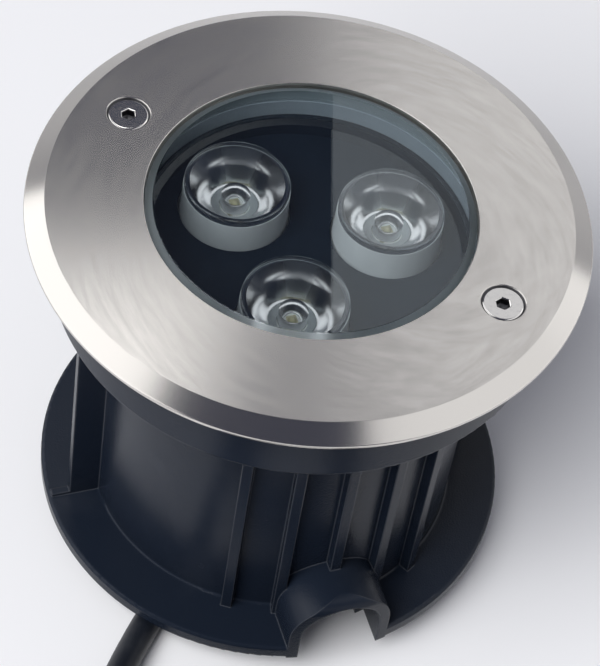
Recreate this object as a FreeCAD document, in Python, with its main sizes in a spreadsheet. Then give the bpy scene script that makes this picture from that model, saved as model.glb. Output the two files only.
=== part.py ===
import FreeCAD, Part
import math
import os
import re

import Sketcher
from FreeCAD import Placement, Rotation, Vector

# Recessed ground light: a lamp with three lenses in a buried plastic sleeve.
# Millimetres, +Z up, origin on the lamp's axis at the foot of the sleeve, front cable arch towards -Y.

doc = FreeCAD.newDocument("recessed_ground_light")
sheet = doc.addObject("Spreadsheet::Sheet", "Sizes")

sizes = {
    # embedded sleeve
    "sleeve_height": 88.2,
    "foot_height": 6.5,
    "flange_radius": 49.2,
    "flange_thickness": 3.5,
    "rim_round": 0.7,
    "tube_wall": 2.7,
    "tube_fillet": 0.5,
    "collar_wall": 2.4,
    "collar_height": 16.2,
    "collar_floor": 2.4,
    "rib_depth": 2.3,
    "rib_thickness": 2.2,
    "rib_spacing": 15,
    "web_reach": 6.3,
    "web_thickness": 1.6,
    "web_step": 0.8,
    "tunnel_width": 17,
    "tunnel_height": 16,
    "tunnel_wall": 2.3,
    "tunnel_nose": 3.2,
    "slot_width": 12,
    "slot_angle": 40,
    "boss_radius": 4.6,
    "boss_depth": 12,
    "insert_radius": 3,
    "insert_length": 8,
    "press_clearance": 0.05,
    # trim ring and the screws through it
    "ring_radius": 55,
    "glass_overlap": 3.65,
    "ring_thickness": 3,
    "bevel_width": 3.9,
    "bevel_drop": 2.4,
    "ring_lip": 0.3,
    "screw_land": 1.95,
    "screw_margin": 2.9,
    "screw_angle": -47,
    "screw_radius": 2,
    "screw_length": 24,
    "screw_head_radius": 4,
    "screw_sink": 0.25,
    "screw_hex": 2.5,
    "screw_hex_depth": 1.6,
    "screw_clearance": 0.2,
    "thread_clearance": 0.1,
    "screw_end_room": 1.5,
    # cover glass and its gasket
    "glass_radius": 36,
    "glass_thickness": 6,
    "glass_gap": 0.25,
    "glass_sink": 0.4,
    "glass_bevel_width": 1.5,
    "glass_bevel_drop": 0.7,
    "gasket_wall": 1.2,
    "gasket_lip": 0.6,
    "gasket_seat": 0.8,
    "gasket_cover": 2.6,
    "fit_clearance": 0.1,
    # lamp housing
    "lamp_clearance": 0.5,
    "glass_rest": 2.8,
    "housing_wall": 2,
    "bezel_ledge": 1.6,
    "housing_web": 4,
    "chamber_wall": 2.8,
    "chamber_height": 23.5,
    # optics
    "lens_margin": 3,
    "lens_angle": 4.8,
    "lens_gap": 1,
    "lens_lip": 1,
    "lens_flange": 1.6,
    "lens_cone_top": 9.5,
    "lens_cone_foot": 4.6,
    "lens_well_radius": 2.9,
    "lens_well_depth": 6.5,
    "lens_lift": 1.2,
    "holder_height": 11.8,
    "holder_wall": 0.9,
    "holder_draft": 0.35,
    "holder_floor": 1,
    "holder_cone_gap": 0.2,
    "emitter_side": 3.5,
    "emitter_base": 0.8,
    "emitter_dome": 1.4,
    "bezel_show": 8,
    "bezel_thickness": 1,
    "bezel_rim": 4.8,
    "bezel_rim_wall": 1,
    "bezel_clearance": 0.3,
    # board, heat pad and wires
    "board_clearance": 0.6,
    "board_thickness": 1.6,
    "pad_thickness": 0.3,
    "fixing_inset": 5,
    "fixing_radius": 1.5,
    "fixing_head_radius": 2.75,
    "fixing_head": 2,
    "fixing_bite": 3,
    "fixing_room": 0.5,
    "grommet_angle": 40,
    "grommet_radius": 3.1,
    "grommet_bore": 1.9,
    "grommet_flange": 1,
    "grommet_flange_width": 1.1,
    "lead_radius": 0.8,
    "lead_gap": 0.2,
    # driver
    "driver_width": 24,
    "driver_length": 44,
    "driver_height": 14,
    "driver_ear_gap": 0.6,
    "driver_ear_offset": 8,
    "driver_ear_width": 9,
    "driver_ear": 2.5,
    # back cover and cable gland
    "cover_thickness": 4.5,
    "cover_screw_inset": 2.6,
    "cover_boss_radius": 3.2,
    "cover_boss_height": 10,
    "cover_screw_bite": 7,
    "seal_width": 1.6,
    "seal_depth": 1,
    "gland_thread": 6,
    "gland_hex": 16,
    "gland_hex_height": 4,
    "gland_washer": 1,
    "gland_locknut": 3.2,
    "gland_thread_end": 0.8,
    "gland_clamp_length": 6,
    "gland_clamp_wall": 1.1,
    "gland_nut_height": 11,
    "gland_nut_floor": 2.4,
    "gland_nut_wall": 1.4,
    "gland_nut_round": 2,
    "gland_joint": 0.3,
    # supply cable
    "cable_radius": 3,
    "cable_inside_end": 1.7,
    "core_radius": 1.1,
    "core_tip_radius": 0.7,
    "core_gap": 0.4,
    "coil_radius": 39.6,
    "coil_gap": 0.6,
    "tie_thickness": 1,
    "tie_width": 4.5,
    "tie_clearance": 0.3,
}

# Radii, levels and places that follow from the sizes.
derived = {
    "pot_bore": "glass_radius - glass_rest",
    "pot_radius": "pot_bore + housing_wall",
    "tube_bore": "pot_radius + lamp_clearance",
    "tube_radius": "tube_bore + tube_wall",
    "flange_top": "foot_height + flange_thickness",
    "collar_low": "sleeve_height - collar_height",
    "lamp_seat": "collar_low + collar_floor",
    "tunnel_spring": "foot_height + tunnel_height - tunnel_width / 2",
    "tunnel_half": "tunnel_width / 2",
    "tunnel_outer": "tunnel_half + tunnel_wall",
    "tunnel_roof": "tunnel_spring + tunnel_outer",
    "ring_top": "sleeve_height + ring_thickness",
    "ring_opening": "glass_radius - glass_overlap",
    "screw_top": "ring_top - screw_sink",
    "screw_tip": "screw_top - screw_length",
    "sink_radius": "screw_head_radius + screw_clearance + screw_sink",
    "sink_depth": "sink_radius - screw_radius - screw_clearance",
    "glass_top": "sleeve_height - gasket_lip",
    "glass_low": "glass_top - glass_thickness",
    "glass_seat": "glass_low - gasket_seat",
    "glass_face": "ring_top - glass_sink",
    "glass_nose_radius": "ring_opening - glass_gap",
    "gasket_radius": "glass_radius + press_clearance + gasket_wall",
    "recess_radius": "gasket_radius + fit_clearance",
    "gasket_bore": "glass_radius - gasket_cover",
    "screw_circle": "recess_radius + screw_land + screw_radius + screw_clearance",
    "lamp_radius": "screw_circle + screw_radius + screw_clearance + screw_margin",
    "collar_bore": "lamp_radius + lamp_clearance",
    "collar_radius": "collar_bore + collar_wall",
    "ledge_bore": "pot_bore - bezel_ledge",
    "chamber_bore": "pot_radius - chamber_wall",
    "seal_radius": "(chamber_bore + pot_radius) / 2",
    "cover_screw_circle": "chamber_bore - cover_screw_inset",
    "board_radius": "ledge_bore - board_clearance",
    "fixing_circle": "board_radius - fixing_inset",
    "holder_top_radius": "lens_cone_top + holder_cone_gap + holder_wall",
    "holder_foot_radius": "holder_top_radius + holder_draft",
    "lens_flange_radius": "lens_cone_top + lens_lip",
    "lens_circle": "ledge_bore - holder_foot_radius - lens_margin",
    "lens_top": "glass_low - lens_gap",
    "holder_top": "lens_top - lens_flange",
    "bezel_top": "lens_top - bezel_show",
    "bezel_low": "bezel_top - bezel_thickness",
    "board_top": "holder_top - holder_height",
    "board_low": "board_top - board_thickness",
    "web_top": "board_low - pad_thickness",
    "web_low": "web_top - housing_web",
    "cover_top": "web_low - chamber_height",
    "cover_low": "cover_top - cover_thickness",
    "lens_foot": "board_top + lens_lift",
    "gland_hex_top": "cover_low - gland_washer",
    "gland_hex_low": "gland_hex_top - gland_hex_height",
    "gland_top": "cover_top + gland_locknut + gland_thread_end",
    "gland_clamp_low": "gland_hex_low - gland_clamp_length",
    "nut_top": "gland_hex_low - gland_joint",
    "nut_low": "nut_top - gland_nut_height",
    "gland_bore": "cable_radius + gland_joint",
    "nut_radius": "gland_thread + gland_joint + gland_nut_wall",
    "seal_bore": "cable_radius + press_clearance",
    "seal_outer": "gland_thread - gland_clamp_wall - press_clearance",
    "grommet_x": "fixing_circle * cos(grommet_angle)",
    "grommet_y": "fixing_circle * sin(grommet_angle)",
    "cable_top": "gland_top - cable_inside_end",
    "lead_spacing": "2 * lead_radius + lead_gap",
    "core_spacing": "2 * core_radius + core_gap",
    "coil_pitch": "2 * cable_radius + coil_gap",
    "coil_floor": "tie_thickness + tie_clearance + cable_radius",
    "driver_side": "driver_width / 2",
    "driver_ear_reach": "driver_ear_offset + driver_ear_width / 2",
    "driver_ear_end": "sqrt((chamber_bore - driver_ear_gap)^2 - driver_ear_reach^2)",
    "driver_hole": "(driver_side + driver_ear_end) / 2",
}

for row, (name, number) in enumerate(sizes.items(), 1):
    sheet.set(f"A{row}", name)
    sheet.set(f"B{row}", str(number))
    sheet.setAlias(f"B{row}", name)
doc.recompute()


def full(text):
    """The expression with derived names written out and each size named in its sheet."""
    def swap(match):
        word = match.group(0)
        if word in derived:
            return "(" + full(derived[word]) + ")"
        return "Sizes." + word if word in sizes else word
    return re.sub(r"[a-z_][a-z0-9_]*", swap, text)


def value(text):
    """The number that an expression gives with the sheet's sizes."""
    return float(sheet.evalExpression(full(text)))


def bind(thing, setting, text):
    """Tie one property of a document object to an expression on the sizes."""
    thing.setExpression(setting, full(text))


nodes = []


def node(thing):
    """Count a document object among the sub-parts."""
    nodes.append(thing)
    return thing


def new_body(label):
    body = doc.addObject("PartDesign::Body", label)
    body.Label = label
    return body


def place(thing, x="0", y="0", z="0"):
    for axis, text in (("x", x), ("y", y), ("z", z)):
        bind(thing, f"Placement.Base.{axis}", text)


def add_outline(sketch, corners):
    """A closed outline of lines and arcs. A corner's third entry is the radius of the arc that leaves it,
    turning left, or right where a fourth entry says so. Each corner is held at its own two distances."""
    points = [Vector(value(c[0]), value(c[1]), 0) for c in corners]
    first = sketch.GeometryCount
    ends = []
    for i, corner in enumerate(corners):
        start, end = points[i], points[(i + 1) % len(points)]
        if len(corner) == 2:
            sketch.addGeometry(Part.LineSegment(start, end), False)
            ends.append((1, 2))
            continue
        radius = value(corner[2])
        left = len(corner) == 3
        chord = end - start
        rise = math.sqrt(max(radius ** 2 - (chord.Length / 2) ** 2, 0))
        across = Vector(-chord.y, chord.x, 0).normalize() * (rise if left else -rise)
        centre = start + chord * 0.5 + across
        low, high = (start, end) if left else (end, start)
        angles = [math.atan2(p.y - centre.y, p.x - centre.x) for p in (low, high)]
        circle = Part.Circle(centre, Vector(0, 0, 1), radius)
        sketch.addGeometry(Part.ArcOfCircle(circle, angles[0], angles[1]), False)
        ends.append((1, 2) if left else (2, 1))
    for i, corner in enumerate(corners):
        here, after = first + i, first + (i + 1) % len(corners)
        start_end = ends[i][0]
        sketch.addConstraint(Sketcher.Constraint("Coincident", here, ends[i][1], after, ends[(i + 1) % len(ends)][0]))
        for kind, text, axis in (("DistanceX", corner[0], -2), ("DistanceY", corner[1], -1)):
            if text == "0":
                sketch.addConstraint(Sketcher.Constraint("PointOnObject", here, start_end, axis))
                continue
            held = sketch.addConstraint(Sketcher.Constraint(kind, -1, 1, here, start_end, value(text)))
            bind(sketch, f"Constraints[{held}]", text)
        if len(corner) > 2:
            held = sketch.addConstraint(Sketcher.Constraint("Radius", here, value(corner[2])))
            bind(sketch, f"Constraints[{held}]", corner[2])


def add_circle(sketch, x, y, radius):
    centre = Vector(value(x), value(y), 0)
    ring = sketch.addGeometry(Part.Circle(centre, Vector(0, 0, 1), value(radius)), False)
    for kind, text, axis in (("DistanceX", x, -2), ("DistanceY", y, -1)):
        if text == "0":
            sketch.addConstraint(Sketcher.Constraint("PointOnObject", ring, 3, axis))
            continue
        held = sketch.addConstraint(Sketcher.Constraint(kind, -1, 1, ring, 3, value(text)))
        bind(sketch, f"Constraints[{held}]", text)
    held = sketch.addConstraint(Sketcher.Constraint("Radius", ring, value(radius)))
    bind(sketch, f"Constraints[{held}]", radius)


def new_sketch(body, role, x="0", y="0", z="0", turn="0"):
    """A sketch on one of the body's own planes, moved by x, y, z along and off it and turned in it."""
    sketch = body.newObject("Sketcher::SketchObject", body.Name + "_sketch")
    plane = next(f for f in body.Origin.OriginFeatures if f.Role == role)
    sketch.AttachmentSupport = [(plane, "")]
    sketch.MapMode = "FlatFace"
    shift = Vector(value(x), value(y), value(z))
    sketch.AttachmentOffset = Placement(shift, Rotation(Vector(0, 0, 1), value(turn)))
    for axis, text in (("x", x), ("y", y), ("z", z)):
        if text != "0":
            bind(sketch, f"AttachmentOffset.Base.{axis}", text)
    if turn != "0":
        bind(sketch, "AttachmentOffset.Rotation.Angle", turn)
    return sketch


def lathe(body, corners, x="0", y="0", cut=False):
    """Turn an outline of radius and height about the vertical axis through x, y."""
    sketch = new_sketch(body, "XZ_Plane", x=x, z=f"-({y})" if y != "0" else "0")
    add_outline(sketch, corners)
    feature = body.newObject("PartDesign::Groove" if cut else "PartDesign::Revolution", body.Name + "_turned")
    feature.Profile = sketch
    feature.ReferenceAxis = (sketch, ["V_Axis"])
    feature.Angle = 360
    return feature


def turned(label, corners):
    body = new_body(label)
    lathe(body, corners)
    return body


def extrude(body, sketch, length, cut=False):
    """Pad a sketch along its normal, or pocket along the same way."""
    feature = body.newObject("PartDesign::Pocket" if cut else "PartDesign::Pad", body.Name + "_extruded")
    feature.Profile = sketch
    bind(feature, "Length", length)
    feature.Reversed = cut
    return feature


def prism(body, corners, low, high, turn="0", cut=False):
    """An upright prism over an outline, between two levels, turned about the lamp's axis."""
    sketch = new_sketch(body, "XY_Plane", z=low, turn=turn)
    add_outline(sketch, corners)
    return extrude(body, sketch, f"({high}) - ({low})", cut)


def post(body, x, y, radius, low, high, turn="0", cut=False):
    """An upright cylinder, or a drilled hole, between two levels."""
    sketch = new_sketch(body, "XY_Plane", z=low, turn=turn)
    add_circle(sketch, x, y, radius)
    return extrude(body, sketch, f"({high}) - ({low})", cut)


def rectangle(x_low, x_high, y_low, y_high):
    return [(x_low, y_low), (x_high, y_low), (x_high, y_high), (x_low, y_high)]


def hexagon(across_flats):
    reach = f"({across_flats}) / sqrt(3)"
    return [(f"{reach} * cos({60 * k})", f"{reach} * sin({60 * k})" if k % 3 else "0") for k in range(6)]


def group(label, things):
    """Separate solids that share one sub-part."""
    gathered = doc.addObject("Part::Compound", label)
    gathered.Label = label
    gathered.Links = things
    return node(gathered)


def polar(radius, angle):
    return f"({radius}) * cos({angle})", f"({radius}) * sin({angle})"


screw_turns = ("screw_angle", "screw_angle + 180")
lens_turns = ("lens_angle", "lens_angle + 120", "lens_angle + 240")
fixing_turns = ("lens_angle + 60", "lens_angle + 180", "lens_angle + 300")
cover_turns = ("45", "135", "225", "315")
driver_holes = (("driver_hole", "-driver_ear_offset"), ("-driver_hole", "driver_ear_offset"))


# Embedded sleeve: collar, tube, base flange and foot ring, turned solid and bored after the ribs and tunnels are on
def embedded_sleeve():
    body = new_body("embedded_sleeve")
    lathe(body, [
        ("0", "0"), ("tube_radius", "0"), ("tube_radius", "foot_height"),
        ("flange_radius - rim_round", "foot_height", "rim_round"),
        ("flange_radius", "foot_height + rim_round"),
        ("flange_radius", "flange_top - rim_round", "rim_round"),
        ("flange_radius - rim_round", "flange_top"),
        ("tube_radius + tube_fillet", "flange_top", "tube_fillet", "right"),
        ("tube_radius", "flange_top + tube_fillet"),
        ("tube_radius", "collar_low - tube_fillet", "tube_fillet", "right"),
        ("tube_radius + tube_fillet", "collar_low"),
        ("collar_radius - rim_round", "collar_low", "rim_round"),
        ("collar_radius", "collar_low + rim_round"),
        ("collar_radius", "sleeve_height"), ("collar_bore", "sleeve_height"),
        ("collar_bore", "lamp_seat"), ("0", "lamp_seat"),
    ])
    # two cable tunnels in one arched block along Y, trimmed to the flange's rim with a rounded nose
    sketch = new_sketch(body, "XZ_Plane")
    add_outline(sketch, [
        ("-tunnel_outer", "foot_height"), ("tunnel_outer", "foot_height"),
        ("tunnel_outer", "tunnel_spring", "tunnel_outer"), ("0", "tunnel_roof", "tunnel_outer"),
        ("-tunnel_outer", "tunnel_spring"),
    ])
    block = extrude(body, sketch, "2 * flange_radius + 2 * tunnel_wall")
    block.Midplane = True
    lathe(body, [
        ("flange_radius", "0"), ("flange_radius + 2 * tunnel_wall", "0"),
        ("flange_radius + 2 * tunnel_wall", "tunnel_roof + tunnel_wall"),
        ("flange_radius - tunnel_nose", "tunnel_roof + tunnel_wall"),
        ("flange_radius - tunnel_nose", "tunnel_roof", "tunnel_nose", "right"),
        ("flange_radius", "tunnel_roof - tunnel_nose"),
    ], cut=True)
    # five ribs over each tunnel and a web at each side with a low step out to the rim
    half_rib, half_web = "rib_thickness / 2", "web_thickness / 2"
    for side in (-90, 90):
        for k in range(-2, 3):
            outline = rectangle("tube_radius - tube_wall / 2", "tube_radius + rib_depth", f"-{half_rib}", half_rib)
            prism(body, outline, "flange_top", "collar_low", f"{side} + {k} * rib_spacing")
    for turn in ("0", "180"):
        outline = rectangle("tube_radius - tube_wall / 2", "tube_radius + web_reach", f"-{half_web}", half_web)
        prism(body, outline, "flange_top", "collar_low", turn)
        outline = rectangle("tube_radius", "flange_radius - rim_round", f"-{half_web}", half_web)
        prism(body, outline, "flange_top", "flange_top + web_step", turn)
    for turn in screw_turns:
        post(body, "screw_circle", "0", "boss_radius", "collar_low - boss_depth", "lamp_seat", turn)
    # bore, tunnels, cable and drain slots in the foot, and the insert holes
    lathe(body, [("0", "0"), ("tube_bore", "0"), ("tube_bore", "lamp_seat"), ("0", "lamp_seat")], cut=True)
    sketch = new_sketch(body, "XZ_Plane")
    add_outline(sketch, [
        ("-tunnel_half", "0"), ("tunnel_half", "0"),
        ("tunnel_half", "tunnel_spring", "tunnel_half"), ("0", "tunnel_spring + tunnel_half", "tunnel_half"),
        ("-tunnel_half", "tunnel_spring"),
    ])
    bore = extrude(body, sketch, "2 * flange_radius + 2 * tunnel_wall", cut=True)
    bore.Midplane = True
    for turn in ("slot_angle", "-slot_angle", "180 - slot_angle", "180 + slot_angle"):
        outline = rectangle("tube_bore - tube_wall", "tube_radius + tube_wall", "-slot_width / 2", "slot_width / 2")
        prism(body, outline, "0", "foot_height", turn, cut=True)
    for turn in screw_turns:
        floor = "min(screw_tip; lamp_seat - insert_length) - screw_end_room"
        post(body, "screw_circle", "0", "insert_radius + press_clearance", floor, "lamp_seat", turn, cut=True)
    return node(body)


# Brass threaded inserts, moulded into the sleeve's two screw bosses
def threaded_inserts():
    inserts = []
    for number, turn in enumerate(screw_turns, 1):
        insert = turned(f"threaded_insert_{number}", [
            ("screw_radius + thread_clearance", "-insert_length"), ("insert_radius", "-insert_length"),
            ("insert_radius", "0"), ("screw_radius + thread_clearance", "0"),
        ])
        place(insert, *polar("screw_circle", turn), "lamp_seat")
        inserts.append(insert)
    return group("threaded_inserts", inserts)


# Lamp housing: a cast pot with a wide flange, a recess for the glass, a ledge for the bezel and a cross web
def lamp_housing():
    body = new_body("lamp_housing")
    lathe(body, [
        ("0", "web_low"), ("chamber_bore", "web_low"), ("chamber_bore", "cover_top"), ("pot_radius", "cover_top"),
        ("pot_radius", "lamp_seat"), ("lamp_radius", "lamp_seat"),
        ("lamp_radius", "sleeve_height"), ("recess_radius", "sleeve_height"),
        ("recess_radius", "glass_seat"), ("pot_bore", "glass_seat"), ("pot_bore", "bezel_low"),
        ("ledge_bore", "bezel_low"), ("ledge_bore", "web_top"), ("0", "web_top"),
    ])
    for turn in cover_turns:
        post(body, "cover_screw_circle", "0", "cover_boss_radius", "cover_top", "cover_top + cover_boss_height", turn)
    for turn in cover_turns:
        room = "cover_top + cover_screw_bite + fixing_room"
        post(body, "cover_screw_circle", "0", "fixing_radius + press_clearance", "cover_top", room, turn, cut=True)
    for turn in screw_turns:
        clear = "screw_radius + screw_clearance"
        post(body, "screw_circle", "0", clear, "lamp_seat", "sleeve_height", turn, cut=True)
    for turn in fixing_turns:
        room = "web_top - fixing_bite - fixing_room"
        post(body, "fixing_circle", "0", "fixing_radius + press_clearance", room, "web_top", turn, cut=True)
    for x, y in driver_holes:
        room = "web_low + fixing_bite + fixing_room"
        post(body, x, y, "fixing_radius + press_clearance", "web_low", room, cut=True)
    post(body, "grommet_x", "grommet_y", "grommet_radius + fit_clearance", "web_low", "web_top", cut=True)
    return node(body)


# Heat pad and aluminium-core LED board, with holes for the board screws and the leads
def drilled_disc(label, low, high, lead_hole):
    body = new_body(label)
    post(body, "0", "0", "board_radius", low, high)
    for turn in fixing_turns:
        post(body, "fixing_circle", "0", "fixing_radius + fit_clearance", low, high, turn, cut=True)
    post(body, "grommet_x", "grommet_y", lead_hole, low, high, cut=True)
    return node(body)


# Pan-head screws, modelled plain, head up or head down
def pan_screws(label, places, seat, shank, head_up=True):
    way = "" if head_up else "-"
    screws = []
    for number, (x, y) in enumerate(places, 1):
        corners = [("0", "0"), ("fixing_radius", "0"), ("fixing_radius", f"{way}({shank})"),
                   ("fixing_head_radius", f"{way}({shank})"), ("fixing_head_radius", f"{way}({shank} + fixing_head)"),
                   ("0", f"{way}({shank} + fixing_head)")]
        screw = turned(f"{label}_{number}", corners)
        place(screw, x, y, f"{seat} - ({shank})" if head_up else f"{seat} + ({shank})")
        screws.append(screw)
    return group(label, screws)


# LED emitter: a square ceramic base with a clear dome
def led_emitter(number, turn):
    label = f"led_emitter_{number}"
    base = doc.addObject("Part::Box", label + "_base")
    for edge in ("Length", "Width"):
        bind(base, edge, "emitter_side")
    bind(base, "Height", "emitter_base")
    place(base, "-emitter_side / 2", "-emitter_side / 2", "0")
    dome = doc.addObject("Part::Sphere", label + "_dome")
    bind(dome, "Radius", "emitter_dome")
    dome.Angle1 = 0
    place(dome, z="emitter_base")
    emitter = doc.addObject("Part::Fuse", label)
    emitter.Label = label
    emitter.Base = base
    emitter.Tool = dome
    place(emitter, *polar("lens_circle", turn), "board_top")
    return node(emitter)


# Lens holder: a milky cup that stands on the board round the emitter and carries the lens on its rim
def lens_holder(number, turn):
    gap = "holder_cone_gap"
    holder = turned(f"lens_holder_{number}", [
        (f"lens_well_radius + {gap}", "0"), ("holder_foot_radius", "0"), ("holder_top_radius", "holder_height"),
        (f"lens_cone_top + {gap}", "holder_height"), (f"lens_cone_foot + 2 * {gap}", "holder_floor"),
        (f"lens_well_radius + {gap}", "holder_floor"),
    ])
    place(holder, *polar("lens_circle", turn), "board_top")
    return node(holder)


# Total-reflection lens: a clear cone under a flat flange, with a well over the emitter
def tir_lens(number, turn):
    height = "(lens_top - lens_foot)"
    lens = turned(f"tir_lens_{number}", [
        ("lens_well_radius", "0"), ("lens_cone_foot", "0"), ("lens_cone_top", f"{height} - lens_flange"),
        ("lens_flange_radius", f"{height} - lens_flange"), ("lens_flange_radius", height),
        ("0", height), ("0", "lens_well_depth"), ("lens_well_radius", "lens_well_depth"),
    ])
    place(lens, *polar("lens_circle", turn), "lens_foot")
    return node(lens)


# Bezel plate: a black pressed disc with an upturned rim and three holes for the lens holders
def bezel_plate():
    edge = "pot_bore - bezel_clearance"
    body = turned("bezel_plate", [
        ("0", "bezel_low"), (edge, "bezel_low"), (edge, "bezel_top + bezel_rim"),
        (f"{edge} - bezel_rim_wall", "bezel_top + bezel_rim"), (f"{edge} - bezel_rim_wall", "bezel_top"),
        ("0", "bezel_top"),
    ])
    for turn in lens_turns:
        hole = "holder_foot_radius + bezel_clearance"
        post(body, "lens_circle", "0", hole, "bezel_low", "bezel_top", turn, cut=True)
    return node(body)


# Glass gasket: a silicone ring of U section round the edge of the glass
def glass_gasket():
    groove = "glass_radius + press_clearance"
    return node(turned("glass_gasket", [
        ("gasket_bore", "glass_seat"), ("gasket_radius", "glass_seat"), ("gasket_radius", "sleeve_height"),
        ("gasket_bore", "sleeve_height"), ("gasket_bore", "glass_top"), (groove, "glass_top"),
        (groove, "glass_low"), ("gasket_bore", "glass_low"),
    ]))


# Cover glass: a thick toughened disc, its rim held in the gasket and its bevelled middle up in the ring's opening
def cover_glass():
    return node(turned("cover_glass", [
        ("0", "glass_low"), ("glass_radius", "glass_low"), ("glass_radius", "glass_top"),
        ("glass_nose_radius", "glass_top"), ("glass_nose_radius", "glass_face - glass_bevel_drop"),
        ("glass_nose_radius - glass_bevel_width", "glass_face"), ("0", "glass_face"),
    ]))


# Rubber grommet in the web, and the red and black leads that pass through it to the board
def lead_grommet():
    body = turned("lead_grommet", [
        ("grommet_bore", "-grommet_flange"), ("grommet_radius + grommet_flange_width", "-grommet_flange"),
        ("grommet_radius + grommet_flange_width", "0"), ("grommet_radius", "0"),
        ("grommet_radius", "housing_web"), ("grommet_bore", "housing_web"),
    ])
    place(body, "grommet_x", "grommet_y", "web_low")
    return node(body)


# Driver: a potted block with an ear at each side, held under the web by two screws
def driver_module():
    body = new_body("driver_module")
    block = rectangle("-driver_side", "driver_side", "-driver_length / 2", "driver_length / 2")
    prism(body, block, "web_low - driver_height", "web_low")
    ear = rectangle("0", "driver_ear_end", "-driver_ear_reach", "driver_ear_width - driver_ear_reach")
    for turn in ("0", "180"):
        prism(body, ear, "web_low - driver_ear", "web_low", turn)
    for x, y in driver_holes:
        post(body, x, y, "fixing_radius + fit_clearance", "web_low - driver_ear", "web_low", cut=True)
    return node(body)


# Back cover: a disc with a seal groove in its upper face, four screw holes and the gland's hole
def back_cover():
    groove_in, groove_out = "seal_radius - seal_width / 2", "seal_radius + seal_width / 2"
    body = turned("back_cover", [
        ("gland_thread + fit_clearance", "cover_low"), ("pot_radius", "cover_low"), ("pot_radius", "cover_top"),
        (groove_out, "cover_top"), (groove_out, "cover_top - seal_depth"), (groove_in, "cover_top - seal_depth"),
        (groove_in, "cover_top"), ("gland_thread + fit_clearance", "cover_top"),
    ])
    for turn in cover_turns:
        post(body, "cover_screw_circle", "0", "fixing_radius + fit_clearance", "cover_low", "cover_top", turn, cut=True)
    return node(body)


# Seal ring in the back cover's groove
def back_cover_seal():
    inner, outer = "seal_radius - seal_width / 2 + press_clearance", "seal_radius + seal_width / 2 - press_clearance"
    return node(turned("back_cover_seal", [
        (inner, "cover_top - seal_depth"), (outer, "cover_top - seal_depth"), (outer, "cover_top"), (inner, "cover_top"),
    ]))


# Cable gland: body with a hexagon and a clamping tube, flat washer, locknut, rubber seal and dome nut
def cable_gland():
    body = new_body("gland_body")
    post(body, "0", "0", "gland_thread", "gland_clamp_low", "gland_top")
    prism(body, hexagon("gland_hex"), "gland_hex_low", "gland_hex_top")
    post(body, "0", "0", "gland_bore", "gland_clamp_low", "gland_top", cut=True)
    post(body, "0", "0", "gland_thread - gland_clamp_wall", "gland_clamp_low", "gland_hex_low", cut=True)
    node(body)
    node(turned("gland_washer", [
        ("gland_thread + fit_clearance", "gland_hex_top"), ("gland_hex / 2", "gland_hex_top"),
        ("gland_hex / 2", "cover_low"), ("gland_thread + fit_clearance", "cover_low"),
    ]))
    locknut = new_body("gland_locknut")
    prism(locknut, hexagon("gland_hex"), "cover_top", "cover_top + gland_locknut")
    post(locknut, "0", "0", "gland_thread + press_clearance", "cover_top", "cover_top + gland_locknut", cut=True)
    node(locknut)
    node(turned("gland_seal", [
        ("seal_bore", "nut_low + gland_nut_floor"), ("seal_outer", "nut_low + gland_nut_floor"),
        ("seal_outer", "gland_hex_low"), ("seal_bore", "gland_hex_low"),
    ]))
    nut = turned("gland_nut", [
        ("gland_bore", "nut_low"), ("nut_radius - gland_nut_round", "nut_low", "gland_nut_round"),
        ("nut_radius", "nut_low + gland_nut_round"), ("nut_radius", "nut_top"),
        ("gland_thread + press_clearance", "nut_top"), ("gland_thread + press_clearance", "nut_low + gland_nut_floor"),
        ("gland_bore", "nut_low + gland_nut_floor"),
    ])
    prism(nut, hexagon("gland_hex"), "nut_low + gland_nut_height / 2", "nut_top")
    post(nut, "0", "0", "gland_thread + press_clearance", "nut_low + gland_nut_floor", "nut_top", cut=True)
    node(nut)
    node(turned("cable_in_gland", [
        ("0", "nut_low"), ("cable_radius", "nut_low"), ("cable_radius", "cable_top"), ("0", "cable_top"),
    ]))


# Trim ring: turned stainless plate with a bevelled edge and two countersunk holes
def trim_ring():
    body = turned("trim_ring", [
        ("ring_opening", "sleeve_height"), ("ring_radius", "sleeve_height"), ("ring_radius", "ring_top - bevel_drop"),
        ("ring_radius - bevel_width", "ring_top"), ("ring_opening + ring_lip", "ring_top"),
        ("ring_opening", "ring_top - ring_lip"),
    ])
    for turn in screw_turns:
        x, y = polar("screw_circle", turn)
        lathe(body, [
            ("0", "sleeve_height"), ("screw_radius + screw_clearance", "sleeve_height"),
            ("screw_radius + screw_clearance", "ring_top - sink_depth"), ("sink_radius", "ring_top"), ("0", "ring_top"),
        ], x=x, y=y, cut=True)
    return node(body)


# Countersunk screw with a hexagon socket
def cover_screw(number, turn):
    head = "screw_head_radius - screw_radius"
    screw = turned(f"cover_screw_{number}", [
        ("0", "-screw_length"), ("screw_radius", "-screw_length"), ("screw_radius", f"-({head})"),
        ("screw_head_radius", "0"), ("0", "0"),
    ])
    prism(screw, hexagon("screw_hex"), "-screw_hex_depth", "0", cut=True)
    place(screw, *polar("screw_circle", turn), "screw_top")
    return node(screw)


# Cords: round tubes on straight runs and tangent arcs
CORNER_SHARE = 0.45


def corner_arc(before, corner, after):
    """The arc that rounds a corner, and its radius: 0.45 of the shorter run is taken up on each side."""
    back, ahead = (before - corner), (after - corner)
    room = CORNER_SHARE * min(back.Length, ahead.Length)
    turn = math.pi - back.getAngle(ahead)
    back.normalize()
    ahead.normalize()
    start, end = corner + back * room, corner + ahead * room
    radius = room / math.tan(turn / 2)
    bisector = (back + ahead).normalize()
    middle = corner + bisector * (radius / math.cos(turn / 2) - radius)
    return Part.Arc(start, middle, end), radius


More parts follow.
